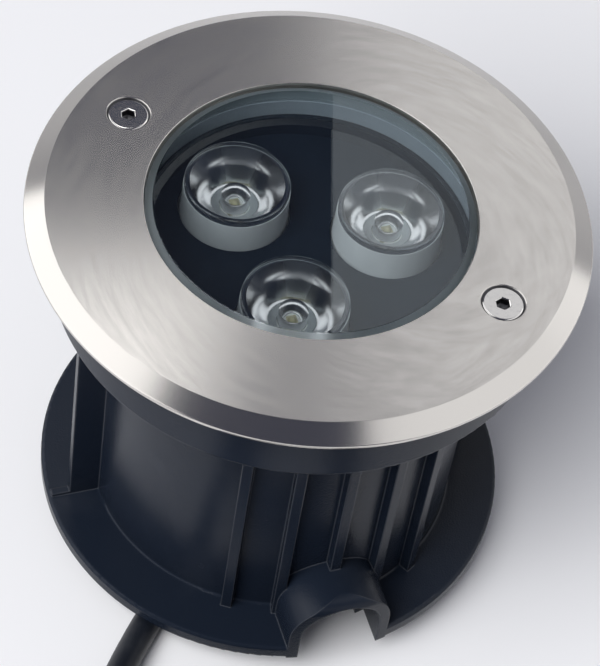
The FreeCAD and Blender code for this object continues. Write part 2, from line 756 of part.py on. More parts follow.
def route_wire(points):
    edges, radii, here = [], [], points[0]
    for before, corner, after in zip(points, points[1:], points[2:]):
        arc, radius = corner_arc(before, corner, after)
        edges.append(Part.LineSegment(here, arc.StartPoint).toShape())
        edges.append(arc.toShape())
        radii.append(radius)
        here = arc.EndPoint
    edges.append(Part.LineSegment(here, points[-1]).toShape())
    return Part.Wire(edges), radii


def tube(label, wire, direction, radius):
    """A round tube along a wire, with its volume set against its section times its length."""
    start = wire.OrderedVertexes[0].Point
    ring = Part.Wire(Part.Circle(start, direction, radius).toShape())
    solid = wire.makePipeShell([ring], True, False)
    expected = math.pi * radius ** 2 * wire.Length
    print(f"{label}: length {wire.Length:.1f}, volume {solid.Volume / expected:.4f} of section times length")
    piece = doc.addObject("Part::Feature", label)
    piece.Label = label
    piece.Shape = solid
    return node(piece)


def cord(label, points, radius):
    wire, radii = route_wire(points)
    print(f"{label}: bend radii {[round(r, 1) for r in radii]}")
    return tube(label, wire, points[1] - points[0], radius)


# Red and black leads from the driver's side, up through the grommet, to the board
def led_leads():
    radius = value("lead_radius")
    x, y, side = value("grommet_x"), value("grommet_y"), value("driver_side")
    resting = value("board_top") + radius
    low = value("web_low - driver_height / 2")
    reach = value("grommet_radius + 2 * lead_spacing")
    for label, offset, drop in (("led_lead_red", -0.5, 0), ("led_lead_black", 0.5, 1)):
        across = y + offset * value("lead_spacing")
        start = low - drop * value("lead_spacing")
        cord(label, [
            Vector(side, across, start), Vector(x, across, start), Vector(x, across, resting),
            Vector(x - reach, across, resting),
        ], radius)


# Brown and blue cores inside the lamp, from the cable's end to the driver's end face
def inner_cores():
    radius = value("core_radius")
    low, gland = value("cable_top"), value("gland_top")
    end = -value("driver_length / 2")
    level = (gland + value("web_low - driver_height")) / 2
    height = value("web_low - driver_height / 2")
    for label, side in (("inner_core_brown", -0.5), ("inner_core_blue", 0.5)):
        x = side * value("core_spacing")
        cord(label, [
            Vector(x, 0, low), Vector(x, 0, level), Vector(x, end - 4 * radius, level),
            Vector(x, end - 4 * radius, height), Vector(x, end, height),
        ], radius)


# Supply cable: down from the gland, under the flange through a foot slot, to the coil outside
floor_level, coil_level = value("cable_radius"), value("coil_floor")
cable_route = [
    (0, 0, value("nut_low")), (0, 0, 9.2), (-4.6, -3.9, floor_level), (-17.2, -13.0, floor_level),
    (-35.2, -30.2, floor_level), (-50.6, -49.9, coil_level), (-62.7, -71.8, coil_level),
]


def biarc(start, start_way, end, end_way):
    """Two arcs of equal tangent length that join two points with given directions."""
    chord = end - start
    both = start_way + end_way
    spread = 2 * (1 - start_way.dot(end_way))
    reach = (math.sqrt(chord.dot(both) ** 2 + spread * chord.dot(chord)) - chord.dot(both)) / spread
    first, second = start + start_way * reach, end - end_way * reach
    joint = (first + second) * 0.5
    arcs = []
    for a, corner, b in ((start, first, joint), (joint, second, end)):
        half = (b - a).Length / 2
        middle = (a + b) * 0.5
        apex = corner - middle
        turn = 2 * math.atan2(apex.Length, half)
        arcs.append(Part.Arc(a, middle + apex.normalize() * (half * math.tan(turn / 4)), b))
    return arcs


# Coil: two layers that spiral in and out at a steady rate, with the climb in the half turn where the spiral reverses
LAYER_TURNS, CLIMB_TURNS, KNOTS_PER_TURN = 1.75, 0.5, 4


def coil_place(turns, centre, first_angle):
    """The point of the coil's middle line after a number of turns."""
    pitch, climb_end = value("coil_pitch"), LAYER_TURNS + CLIMB_TURNS
    radius, height = value("coil_radius"), value("coil_floor")
    if turns < LAYER_TURNS:
        reach, level = radius - pitch * turns, 0.0
    elif turns > climb_end:
        reach, level = radius - pitch * (LAYER_TURNS + climb_end - turns), 1.0
    else:
        share = (turns - LAYER_TURNS) / CLIMB_TURNS
        reach = radius - pitch * (LAYER_TURNS + CLIMB_TURNS * share * (1 - share))
        level = (1 - math.cos(math.pi * share)) / 2
    angle = first_angle + 2 * math.pi * turns
    return centre + Vector(reach * math.cos(angle), reach * math.sin(angle), height + level * pitch)


def cable_coil():
    diameter = 2 * value("cable_radius")
    last, before = Vector(*cable_route[-1]), Vector(*cable_route[-2])
    way = (last - before).normalize()
    entry = last + way * diameter
    inward = math.atan(value("coil_pitch / coil_radius") / (2 * math.pi))
    first_angle = math.atan2(way.y, way.x) - math.pi / 2 - inward
    centre = entry - Vector(math.cos(first_angle), math.sin(first_angle), 0) * value("coil_radius")
    centre.z = 0
    total = 2 * LAYER_TURNS + CLIMB_TURNS
    count = round(total * KNOTS_PER_TURN)
    knots, ways = [], []
    step = 1e-4
    for k in range(count + 1):
        u = total * k / count
        low, high = (coil_place(v, centre, first_angle) for v in (max(u - step, 0), min(u + step, total)))
        knots.append(coil_place(u, centre, first_angle))
        ways.append((high - low).normalize())
    edges = [Part.LineSegment(knots[0] - ways[0] * diameter, knots[0])]
    for k in range(count):
        edges += biarc(knots[k], ways[k], knots[k + 1], ways[k + 1])
    edges.append(Part.LineSegment(knots[-1], knots[-1] + ways[-1] * diameter))
    wire = Part.Wire([edge.toShape() for edge in edges])
    points = wire.discretize(Number=900)
    far = round(2 * diameter * len(points) / wire.Length)
    least = min((a - b).Length for i, a in enumerate(points) for b in points[i + far:])
    print(f"cable_coil: least gap to itself {least - diameter:.2f}")
    tube("cable_coil", wire, ways[0], value("cable_radius"))
    return centre, first_angle, knots[-1] + ways[-1] * diameter, ways[-1]


# Coil tie: a strap round the four strands of the coil, opposite the point where the cable comes in
def coil_tie(centre, first_angle):
    body = new_body("coil_tie")
    reach = "(cable_radius + tie_clearance)"
    low, high = "tie_thickness", f"coil_floor + coil_pitch + {reach}"
    near, far = f"coil_radius - 1.5 * coil_pitch - {reach}", f"coil_radius - 0.5 * coil_pitch + {reach}"
    sketch = new_sketch(body, "XZ_Plane")
    for wall, bend in (("0", reach), ("tie_thickness", f"{reach} + tie_thickness")):
        left, right = f"{near} - ({wall})", f"{far} + ({wall})"
        foot, top = f"{low} - ({wall})" if wall == "0" else "0", f"{high} + ({wall})"
        add_outline(sketch, [
            (f"{left} + {bend}", foot), (f"{right} - ({bend})", foot, bend), (right, f"{foot} + {bend}"),
            (right, f"{top} - ({bend})", bend), (f"{right} - ({bend})", top), (f"{left} + {bend}", top, bend),
            (left, f"{top} - ({bend})"), (left, f"{foot} + {bend}", bend),
        ])
    strap = extrude(body, sketch, "tie_width")
    strap.Midplane = True
    body.Placement = Placement(centre, Rotation(Vector(0, 0, 1), math.degrees(first_angle) + 180))
    return node(body)


# Bare end of the cable: two cores that come down to the floor, with tinned tips
def cable_end(start, way):
    radius, tip = value("core_radius"), value("core_tip_radius")
    side = Vector(-way.y, way.x, 0)
    half = value("core_spacing") / 2
    tips = []
    for label, sign in (("core_brown", 1), ("core_blue", -1)):
        def at(along, across, height):
            point = start + way * along + side * (sign * across)
            return Vector(point.x, point.y, height)
        route = [at(0, half, start.z), at(10, half, start.z), at(20, 2 * half, 4.6), at(29, 3 * half, radius),
                 at(36, 3.2 * half, radius)]
        cord(label, route, radius)
        end = (route[-1] - route[-2]).normalize()
        tips.append(doc.addObject("Part::Cylinder", f"core_tip_{label}"))
        bind(tips[-1], "Radius", "core_tip_radius")
        bind(tips[-1], "Height", "2 * cable_radius")
        tips[-1].Placement = Placement(route[-1], Rotation(Vector(0, 0, 1), end))
    return group("core_tips", tips)


embedded_sleeve()
threaded_inserts()
lamp_housing()
drilled_disc("heat_pad", "web_top", "board_low", "grommet_radius + fit_clearance")
drilled_disc("led_board", "board_low", "board_top", "grommet_bore + lead_radius")
pan_screws("board_screws", [polar("fixing_circle", turn) for turn in fixing_turns], "board_top",
           "board_thickness + pad_thickness + fixing_bite")
for number, turn in enumerate(lens_turns, 1):
    led_emitter(number, turn)
    lens_holder(number, turn)
    tir_lens(number, turn)
bezel_plate()
glass_gasket()
cover_glass()
lead_grommet()
driver_module()
pan_screws("driver_screws", driver_holes, "web_low - driver_ear", "driver_ear + fixing_bite", head_up=False)
back_cover()
back_cover_seal()
pan_screws("back_cover_screws", [polar("cover_screw_circle", turn) for turn in cover_turns], "cover_low",
           "cover_thickness + cover_screw_bite", head_up=False)
cable_gland()
trim_ring()
for number, turn in enumerate(screw_turns, 1):
    cover_screw(number, turn)
led_leads()
inner_cores()
coil_centre, coil_angle, coil_exit, coil_way = cable_coil()
cord("supply_cable", [Vector(*point) for point in cable_route], value("cable_radius"))
coil_tie(coil_centre, coil_angle)
cable_end(coil_exit, coil_way)

doc.recompute()
for thing in doc.Objects:
    faults = {"Invalid", "Error"} & set(thing.State)
    if faults:
        raise RuntimeError(f"{thing.Label}: {faults}")
    if thing.TypeId in ("PartDesign::Pocket", "PartDesign::Groove"):
        if thing.BaseFeature.Shape.Volume - thing.Shape.Volume < 0.01:
            raise RuntimeError(f"{thing.Label} cuts nothing")
for thing in nodes:
    if thing.Shape.isNull() or not thing.Shape.isValid():
        raise RuntimeError(f"{thing.Label} has no valid shape")

os.makedirs("parts", exist_ok=True)
for thing in nodes:
    thing.Shape.exportStep(f"parts/{thing.Label}.step")
print(f"{len(nodes)} sub-parts")
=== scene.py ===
import math

import bmesh
import bpy
import numpy as np
from mathutils import Matrix, Vector


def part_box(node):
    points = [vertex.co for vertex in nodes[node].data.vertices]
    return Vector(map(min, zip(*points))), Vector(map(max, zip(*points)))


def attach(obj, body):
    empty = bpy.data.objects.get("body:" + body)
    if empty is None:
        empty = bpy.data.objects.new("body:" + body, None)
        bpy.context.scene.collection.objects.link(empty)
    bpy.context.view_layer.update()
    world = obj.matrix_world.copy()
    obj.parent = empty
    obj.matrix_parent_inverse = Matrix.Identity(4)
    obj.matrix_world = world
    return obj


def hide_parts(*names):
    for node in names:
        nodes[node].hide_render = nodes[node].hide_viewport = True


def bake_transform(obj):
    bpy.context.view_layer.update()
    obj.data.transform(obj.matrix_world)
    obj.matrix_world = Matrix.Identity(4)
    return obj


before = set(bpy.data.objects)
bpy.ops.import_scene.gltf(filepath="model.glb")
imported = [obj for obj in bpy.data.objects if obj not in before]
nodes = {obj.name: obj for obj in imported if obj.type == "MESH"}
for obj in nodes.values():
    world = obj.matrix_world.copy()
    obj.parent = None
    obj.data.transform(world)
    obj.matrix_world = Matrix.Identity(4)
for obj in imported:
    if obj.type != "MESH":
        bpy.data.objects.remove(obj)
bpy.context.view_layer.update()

# Embedded sleeve.
# One moulding in glass-filled black plastic: collar, tube, base flange, ribs and cable arches. It is set
# in the ground first, and the lamp goes down into it. Its smooth skin is painted paler along the edges,
# partly as rubbing and partly as painted highlight.


class Shade:
    """A socket in a tree of shader nodes. Arithmetic on it adds Math nodes to that tree."""

    def __init__(self, tree, socket):
        self.tree = tree
        self.socket = socket

    def node(self, kind, settings=None, inputs=None, output=0):
        """Add a node: its settings first, then the values or links of its inputs. Gives one output."""
        made = self.tree.nodes.new("ShaderNode" + kind)
        for name, value in (settings or {}).items():
            setattr(made, name, value)
        for name, value in (inputs or {}).items():
            if isinstance(value, Shade):
                self.tree.links.new(value.socket, made.inputs[name])
            else:
                made.inputs[name].default_value = value
        return Shade(self.tree, made.outputs[output])

    def math(self, operation, *values):
        """A Math node on one value or more."""
        return self.node("Math", {"operation": operation}, dict(enumerate(values)))

    def __add__(self, other):
        return self.math("ADD", self, other)

    def __sub__(self, other):
        return self.math("SUBTRACT", self, other)

    def __mul__(self, other):
        return self.math("MULTIPLY", self, other)

    def __truediv__(self, other):
        return self.math("DIVIDE", self, other)

    def __rsub__(self, other):
        return self.math("SUBTRACT", other, self)

    __radd__ = __add__
    __rmul__ = __mul__

    def vector_math(self, operation, other, output=0):
        """A Vector Math node on this vector and another."""
        return self.node("VectorMath", {"operation": operation}, {0: self, 1: other}, output)

    def height(self):
        """The third value of this vector."""
        return self.node("SeparateXYZ", {}, {0: self}, 2)

    def from_axis(self, x=0.0, y=0.0):
        """The distance of this point from the upright line through x, y."""
        return self.vector_math("MULTIPLY", (1, 1, 0)).vector_math("DISTANCE", (x, y, 0), "Value")

    def step(self, low, high):
        """0 below low, 1 above high, smooth between them."""
        return self.node("MapRange", {"interpolation_type": "SMOOTHSTEP"},
                         {"Value": self, "From Min": low, "From Max": high})

    def tint(self, low, high):
        """The colour low where this value is 0 and high where it is 1."""
        return self.node("Mix", {"data_type": "RGBA"}, {0: self, 6: low, 7: high}, 2)

    def noise(self, scale, detail=2.0, rough=0.5):
        """Noise over this vector."""
        return self.node("TexNoise", {},
                         {"Vector": self, "Scale": scale, "Detail": detail, "Roughness": rough})

    def bump(self, height, distance, normal=None):
        """A normal that follows a height of 0 to 1 times the distance, in metres."""
        inputs = {"Height": height, "Distance": distance, "Strength": 1.0}
        if normal:
            inputs["Normal"] = normal
        return self.node("Bump", {}, inputs)

    def edge_normal_and_mask(self, radius):
        """The normal rounded over every edge, and a mask that is 1 along the edges."""
        rounded_normal = self.node("Bevel", {"samples": 6}, {"Radius": radius})
        flat_normal = self.node("NewGeometry", output="Normal")
        facing = rounded_normal.vector_math("DOT_PRODUCT", flat_normal, "Value")
        return rounded_normal, (1 - facing).step(0.01, 0.12)


def new_finish(name, colour, roughness, **fixed):
    """A material on the Principled shader, with what is the same all over it on the shader's own sockets."""
    material = bpy.data.materials.new(name)
    material.use_nodes = True
    tree = material.node_tree
    shader = tree.nodes["Principled BSDF"]
    shader.inputs["Base Color"].default_value = (*colour, 1)
    shader.inputs["Roughness"].default_value = roughness
    for socket, value in fixed.items():
        shader.inputs[socket.replace("_", " ")].default_value = value
    return material, Shade(tree, tree.nodes.new("ShaderNodeTexCoord").outputs["Object"])


def vary(material, **links):
    """Feed what changes over the surface to the material's Principled shader."""
    shader = material.node_tree.nodes["Principled BSDF"]
    for socket, value in links.items():
        material.node_tree.links.new(value.socket, shader.inputs[socket.replace("_", " ")])


def dress(material, *names):
    """Give CAD nodes a material."""
    for name in names:
        for slot in nodes[name].material_slots:
            slot.material = material


MOULDED_BLACK, RUBBED_AND_HIGHLIT_GREY = (0.0095, 0.0138, 0.0235), (0.055, 0.06, 0.072)
SLEEVE_EDGE = 0.0005
sleeve_black, at = new_finish("sleeve_black", MOULDED_BLACK, 0.25, Specular_IOR_Level=0.16)
round_edge, rubbed_and_highlit = at.edge_normal_and_mask(SLEEVE_EDGE)
cloud = at.noise(60, 4)
pit = at.noise(2600, 2)
# Paler along the edges: partly rubbing, partly a painted highlight on the edges.
wear_and_highlight = rubbed_and_highlit * 0.8 + cloud.step(0.5, 0.8) * 0.12
vary(sleeve_black,
     Base_Color=wear_and_highlight.tint((*MOULDED_BLACK, 1), (*RUBBED_AND_HIGHLIT_GREY, 1)),
     Roughness=0.2 + cloud * 0.1,
     Normal=at.bump(pit, 0.00004, round_edge))
dress(sleeve_black, "embedded_sleeve")

# Threaded inserts.
# Two knurled brass bushes moulded into the sleeve's bosses, one under each cover screw.
insert_brass, at = new_finish("insert_brass", (0.62, 0.45, 0.2), 0.3, Metallic=1.0)
tarnish = at.noise(700, 4)
vary(insert_brass, Base_Color=tarnish.tint((0.62, 0.45, 0.2, 1), (0.4, 0.26, 0.11, 1)),
     Roughness=0.22 + tarnish * 0.25, Normal=at.bump(at.noise(4000, 2), 0.00003))
dress(insert_brass, "threaded_inserts")

# Supply cable.
# Round black rubber cable, 6 mm thick. It leaves the gland downwards, lies on the ground and goes out through
# the front of the foot ring. Its spare length is wound in a coil of two layers, outside the picture.
MM = 0.001
CABLE_RADIUS = 0.003
route = MM * np.array([(0, 0, 17.0), (0, 0, 9.2), (-4.6, -3.9, 3), (-17.2, -13.0, 3), (-35.2, -30.2, 3),
                       (-50.6, -49.9, 4.3), (-62.7, -71.8, 4.3)])
COIL_RADIUS = 0.0396
COIL_PITCH = 0.0066
COIL_STRAIGHT = 0.006
POINTS_PER_TURN = 24
ONE_LAYER = 1.75
CLIMB = 0.5


def unit(vector):
    """The same direction, one long."""
    return vector / np.linalg.norm(vector, axis=-1, keepdims=True)


out_way = unit(route[-1] - route[-2])
coil_entry = route[-1] + out_way * COIL_STRAIGHT
inward = math.atan(COIL_PITCH / COIL_RADIUS / math.tau)
first_angle = math.atan2(out_way[1], out_way[0]) - math.pi / 2 - inward
coil_centre = coil_entry - COIL_RADIUS * np.array([math.cos(first_angle), math.sin(first_angle), 0])


def coil_points():
    """A flat spiral inwards for one layer, half a turn that climbs on to it, and a flat spiral outwards on
    top: the radius falls and rises by one pitch a turn, and a cosine ramp lifts the climb."""
    all_turns = 2 * ONE_LAYER + CLIMB
    turn = np.arange(1, round(all_turns * POINTS_PER_TURN) + 1) / POINTS_PER_TURN
    ramp = np.clip((turn - ONE_LAYER) / CLIMB, 0, 1)
    inner = np.minimum(turn, ONE_LAYER) - np.maximum(turn - ONE_LAYER - CLIMB, 0)
    radius = COIL_RADIUS - COIL_PITCH * (inner + CLIMB * ramp * (1 - ramp))
    radius /= math.cos(math.pi / POINTS_PER_TURN)
    angle = first_angle + math.tau * turn
    height = COIL_PITCH * (1 - np.cos(math.pi * ramp)) / 2
    return coil_centre + np.stack([radius * np.cos(angle), radius * np.sin(angle), height], axis=1)


outward = np.array([math.cos(first_angle), math.sin(first_angle), 0])
end_way = unit(math.tau * COIL_RADIUS * np.array([-outward[1], outward[0], 0]) + COIL_PITCH * outward)
coil_end = coil_centre + COIL_RADIUS * outward + end_way * COIL_STRAIGHT + np.array([0, 0, COIL_PITCH])


def smooth_line(name, points, steps):
    """The points that a NURBS spline of order 3 runs through, with the given points as its control points."""
    line = bpy.data.curves.new(name, "CURVE")
    line.dimensions = "3D"
    spline = line.splines.new("NURBS")
    spline.points.add(len(points) - 1)
    spline.points.foreach_set("co", np.column_stack([points, np.ones(len(points))]).ravel())
    spline.order_u = 3
    spline.use_endpoint_u = True
    spline.resolution_u = steps
    holder = bpy.data.objects.new(name, line)
    bpy.context.scene.collection.objects.link(holder)
    bpy.context.view_layer.update()
    mesh = bpy.data.meshes.new_from_object(holder.evaluated_get(bpy.context.evaluated_depsgraph_get()))
    path = np.empty(3 * len(mesh.vertices))
    mesh.vertices.foreach_get("co", path)
    bpy.data.meshes.remove(mesh)
    bpy.data.objects.remove(holder)
    bpy.data.curves.remove(line)
    return path.reshape(-1, 3)


WELD_GAP, SHORTEST_EDGE = 2e-6, 1e-7


def new_piece(name, sheets, body, material, smooth=35):
    """A closed piece from sheets of points. A sheet is rows by columns, and its columns close into a ring
    unless it comes with False. Neighbours make four-sided faces, and sheets are welded where they meet.
    Edges that turn by more than the smooth angle, in degrees, stay sharp."""
    points, faces, first = [], [], 0
    for sheet in sheets:
        sheet, ring = sheet if isinstance(sheet, tuple) else (sheet, True)
        rows, columns = sheet.shape[:2]
        index = first + np.arange(rows * columns).reshape(rows, columns)
        across = np.roll(index, -1, axis=1)
        quads = np.stack([index[:-1], across[:-1], across[1:], index[1:]], axis=-1)
        faces.append((quads if ring else quads[:, :-1]).reshape(-1, 4))
        points.append(sheet.reshape(-1, 3))
        first += rows * columns
    mesh = bpy.data.meshes.new(name)
    mesh.from_pydata(np.concatenate(points), [], np.concatenate(faces).tolist())
    shell = bmesh.new()
    shell.from_mesh(mesh)
    bmesh.ops.remove_doubles(shell, verts=shell.verts, dist=WELD_GAP)
    bmesh.ops.dissolve_degenerate(shell, edges=shell.edges, dist=SHORTEST_EDGE)
    bmesh.ops.recalc_face_normals(shell, faces=shell.faces)
    shell.to_mesh(mesh)
    shell.free()
    mesh.polygons.foreach_set("use_smooth", np.ones(len(mesh.polygons), dtype=bool))
    mesh.set_sharp_from_angle(angle=math.radians(smooth))
    mesh.materials.append(material)
    piece = bpy.data.objects.new(name, mesh)
    bpy.context.scene.collection.objects.link(piece)
    if body:
        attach(piece, body)
    return piece


SIDE_WHERE_UPRIGHT = 0.001 * np.array([0.65, -0.76, 0.02])


def tube(path, radius, sides=24, upward=(0, 0, 1), round_end=0.15):
    """Circles round a path: each lies across the path's tangent, turned from the upward direction, and the
    two ends are closed by circles that shrink to a point over a rounded edge."""
    tangent = unit(np.gradient(path, axis=0))
    side = unit(np.cross(np.array(upward), tangent) + SIDE_WHERE_UPRIGHT)
    over = np.cross(tangent, side)
    angle = np.arange(sides) * math.tau / sides
    ring = side[:, None] * np.cos(angle)[:, None] + over[:, None] * np.sin(angle)[:, None]
    body = path[:, None] + radius * ring
    edge = np.array([0, 1 - round_end, 1 - 0.3 * round_end])[:, None, None]
    back = round_end * radius
    start = path[0] + radius * ring[0] * edge
    end = path[-1] + radius * ring[-1] * edge[::-1]
    body[0] += tangent[0] * back
    body[-1] -= tangent[-1] * back
    start[2] += tangent[0] * 0.3 * back
    end[0] -= tangent[-1] * 0.3 * back
    return np.concatenate([start, body, end])


cable_rubber, at = new_finish("cable_rubber", (0.009, 0.0115, 0.019), 0.32)
dust = at.noise(140, 5)
vary(cable_rubber,
     Base_Color=dust.step(0.45, 0.8).tint((0.007, 0.009, 0.014, 1), (0.022, 0.025, 0.031, 1)),
     Roughness=0.32 + dust * 0.2, Normal=at.bump(at.noise(900, 3), 0.00006))
cable_points = np.concatenate([route, [coil_entry], coil_points(), [coil_end]])
cable_line = smooth_line("supply_cable_line", cable_points, steps=8)
cable = new_piece("rubber_cable", [tube(cable_line, CABLE_RADIUS)], None, cable_rubber)
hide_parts("supply_cable", "cable_coil")
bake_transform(cable)
dress(cable_rubber, "cable_in_gland")

# Coil tie and stripped end.
# A flat black nylon strap holds the coil. The cable's jacket is stripped at its far end, and its brown and
# blue cores end in tinned strands, ready for a joint box.
tie_nylon, at = new_finish("tie_nylon", (0.016, 0.016, 0.018), 0.38)
vary(tie_nylon, Roughness=0.3 + at.noise(900, 3) * 0.2, Normal=at.bump(at.noise(1500, 3), 0.00005))
dress(tie_nylon, "coil_tie")

CORE_RADIUS = 0.0011
CORE_ALONG = MM * np.array([0, 10, 20, 29, 36])
CORE_ACROSS = 0.0013 * np.array([1, 1, 2, 3, 3.2])
CORE_HEIGHT = MM * np.array([10.9, 10.9, 4.6, 1.1, 1.1])
TIP_RADIUS, TIP_LENGTH, TIP_HIDDEN = 0.0007, 0.006, 0.0004


def insulation(name, colour):
    """Glossy soft plastic with faint streaks."""
    material, at = new_finish(name, colour, 0.3)
    streak = at.noise(800, 3)
    vary(material, Base_Color=streak.tint((*colour, 1), tuple(1.5 * c + 0.01 for c in colour) + (1,)),
         Roughness=0.22 + streak * 0.2, Normal=at.bump(streak, 0.00003))
    return material


core_finishes = {"brown": insulation("core_brown", (0.14, 0.06, 0.028)),
                 "blue": insulation("core_blue", (0.03, 0.1, 0.38))}
tips, cores = [], []
for number, (name, material) in enumerate(core_finishes.items()):
    across = (1 - 2 * number) * np.array([-end_way[1], end_way[0], 0])
    points = coil_end + CORE_ALONG[:, None] * end_way + CORE_ACROSS[:, None] * across
    points[:, 2] = CORE_HEIGHT
    line = smooth_line(f"core_{name}_line", points, steps=10)
    sheets = [tube(line, CORE_RADIUS, sides=16)]
    core = new_piece(f"stripped_core_{name}", sheets, "sleeve", material)
    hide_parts(f"core_{name}")
    cores.append(core)
    last_way = unit(points[-1] - points[-2])
    tips.append(points[-1] + np.linspace(-TIP_HIDDEN, TIP_LENGTH, 24)[:, None] * last_way)


def strands(path, radius, sides=42, lobes=7, twist=5.4):
    """A bundle of twisted strands: a tube whose radius dips between its lobes by the sixth power of a sine
    round it, and the sine's phase grows by the twist from end to end."""
    grid = tube(path, radius, sides)
    along = np.linspace(0, 1, len(grid))[:, None]
    angle = np.arange(sides) * math.tau / sides
    dip = 1 - 0.2 * np.abs(np.sin(lobes / 2 * angle + twist * along)) ** 6
    middle = grid.mean(axis=1, keepdims=True)
    return middle + (grid - middle) * dip[:, :, None]


tinned, at = new_finish("tinned_copper", (0.7, 0.7, 0.68), 0.25, Metallic=1.0)
dull = at.noise(1500, 3)
vary(tinned, Base_Color=dull.tint((0.74, 0.73, 0.7, 1), (0.5, 0.45, 0.4, 1)), Roughness=0.18 + dull * 0.25)
sheets = [strands(path, TIP_RADIUS) for path in tips]
bundle = new_piece("tinned_strands", sheets, "sleeve", tinned)
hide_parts("core_tips")

# Lamp housing and back cover.
# Two aluminium castings with a grey coat: the pot that carries everything, and the cover that closes its
# lower chamber on a seal ring with four screws.
coat_grey, at = new_finish("housing_grey", (0.15, 0.18, 0.21), 0.45)
peel = at.noise(1400, 3)
vary(coat_grey, Base_Color=at.noise(90, 4).tint((0.14, 0.17, 0.2, 1), (0.19, 0.22, 0.25, 1)),
     Roughness=0.36 + peel * 0.2, Normal=at.bump(peel, 0.00006, at.edge_normal_and_mask(0.0003)[0]))
dress(coat_grey, "lamp_housing", "back_cover")
seal_rubber, at = new_finish("seal_rubber", (0.015, 0.015, 0.016), 0.55)
vary(seal_rubber, Roughness=0.5 + at.noise(1200, 3) * 0.2, Normal=at.bump(at.noise(2000, 3), 0.00004))
dress(seal_rubber, "back_cover_seal", "gland_washer", "gland_seal", "lead_grommet")
screw_steel, at = new_finish("screw_steel", (0.6, 0.6, 0.6), 0.25, Metallic=1.0)
tool_marks = at.noise(1800, 3)
vary(screw_steel, Base_Color=tool_marks.tint((0.62, 0.62, 0.62, 1), (0.5, 0.5, 0.51, 1)),
     Roughness=0.16 + tool_marks * 0.2, Normal=at.bump(tool_marks, 0.00002, at.edge_normal_and_mask(0.0002)[0]))
dress(screw_steel, "back_cover_screws", "board_screws", "driver_screws")

# Cable gland.
# Black nylon: a body through the back cover with a locknut inside, and a dome nut that squeezes a rubber seal
# on to the cable.
gland_nylon, at = new_finish("gland_nylon", (0.012, 0.012, 0.014), 0.4)
vary(gland_nylon, Roughness=0.34 + at.noise(500, 4) * 0.2,
     Normal=at.bump(at.noise(2400, 2), 0.00004, at.edge_normal_and_mask(0.0004)[0]))
dress(gland_nylon, "gland_body", "gland_locknut", "gland_nut")

# Board.
# A round aluminium-core board with white solder mask on a soft grey heat pad, held down by three screws. It
# carries one emitter under each lens: a ceramic chip with a pale yellow phosphor.
board_white, at = new_finish("board_white", (0.8, 0.81, 0.8), 0.4)
vary(board_white, Base_Color=at.noise(300, 4).tint((0.8, 0.81, 0.8, 1), (0.7, 0.71, 0.7, 1)),
     Normal=at.bump(at.noise(3000, 2), 0.00002))
dress(board_white, "led_board")
pad_grey, at = new_finish("heat_pad_grey", (0.4, 0.42, 0.45), 0.7)
vary(pad_grey, Base_Color=at.noise(800, 4).tint((0.36, 0.38, 0.41, 1), (0.47, 0.49, 0.52, 1)))
dress(pad_grey, "heat_pad")
phosphor, at = new_finish("phosphor_yellow", (0.5, 0.46, 0.3), 0.35)
vary(phosphor, Base_Color=at.noise(2500, 3).tint((0.5, 0.46, 0.3, 1), (0.42, 0.38, 0.22, 1)))
dress(phosphor, "led_emitter_1", "led_emitter_2", "led_emitter_3")

# Lens holders.
# Three milky plastic cups, each round one lens, standing on the board and showing through the holes of the
# bezel. The inside of the cup shows only through the lens, and is painted dark above its floor: painted
# shade.
HOLDER_WALL, HOLDER_FLOOR = 0.0005, 0.0011
WALL_BLUR, FLOOR_BLUR = 0.0001, 0.0003
for number in (1, 2, 3):
    low, high = (np.array(corner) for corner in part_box(f"lens_holder_{number}"))
    middle, radius = (low + high) / 2, (high - low)[0] / 2
    holder_milk, at = new_finish(f"holder_milk_{number}", (0.36, 0.38, 0.39), 0.35)
    bore, top_of_floor = radius - HOLDER_WALL, low[2] + HOLDER_FLOOR
    # Inside the bore and above the floor the cup is painted near black: painted shade in the cup.
    on_wall = at.from_axis(*middle[:2].tolist()).step(bore - WALL_BLUR, bore)
    on_floor = 1 - at.height().step(top_of_floor, top_of_floor + FLOOR_BLUR)
    milk = at.noise(250, 3).tint((0.38, 0.4, 0.41, 1), (0.32, 0.335, 0.35, 1))
    vary(holder_milk, Base_Color=at.math("MAXIMUM", on_wall, on_floor).tint((0.006, 0.01, 0.02, 1), milk),
         Roughness=0.28 + at.noise(900, 3) * 0.2)
    dress(holder_milk, f"lens_holder_{number}")

# Lenses.
# Three clear acrylic total-reflection lenses: a flat face, a lip that rests on the holder, and a cone that
# narrows down to a well over the emitter. The cone's wall is a little rough from the mould.
LENS_RADIUS = 0.0105
LENS_FLANGE, FLANGE_MARGIN = 0.0008, 0.00001
LIP_DEPTH, LIP_WIDTH = 0.0016, 0.0003
CONE_RADIUS, CONE_DEPTH = 0.0094, 0.0104
LENS_FOOT = 0.0046
WELL_RADIUS, WELL_DEPTH, WELL_CROWN = 0.0029, 0.0065, 0.0011
LENS_EDGE = 0.0002


def clear_finish(name, colour, ior, roughness=0.0):
    """A clear material that refracts what the camera sees, and lets light through to what is under it."""
    material, at = new_finish(name, colour, roughness, IOR=ior, Transmission_Weight=1.0)
    tree = material.node_tree
    body = Shade(tree, tree.nodes["Principled BSDF"].outputs[0])
    through = at.node("BsdfTransparent", {}, {"Color": (*(0.96 * c for c in colour), 1)})
    shadow = at.node("LightPath", output="Is Shadow Ray")
    mixed = at.node("MixShader", {}, {0: shadow, 1: body, 2: through})
    tree.links.new(mixed.socket, tree.nodes["Material Output"].inputs["Surface"])
    return material, at


def turned(outline, sides=96, centre=(0, 0)):
    """A surface of revolution: the outline's points (radius, height) carried round an upright line."""
    angle = np.arange(sides) * math.tau / sides
    radius, height = np.asarray(outline, dtype=float).T[:, :, None]
    return np.stack([centre[0] + radius * np.cos(angle), centre[1] + radius * np.sin(angle),
                     height + 0 * angle], axis=-1)


FLAT_FROM = 1.4


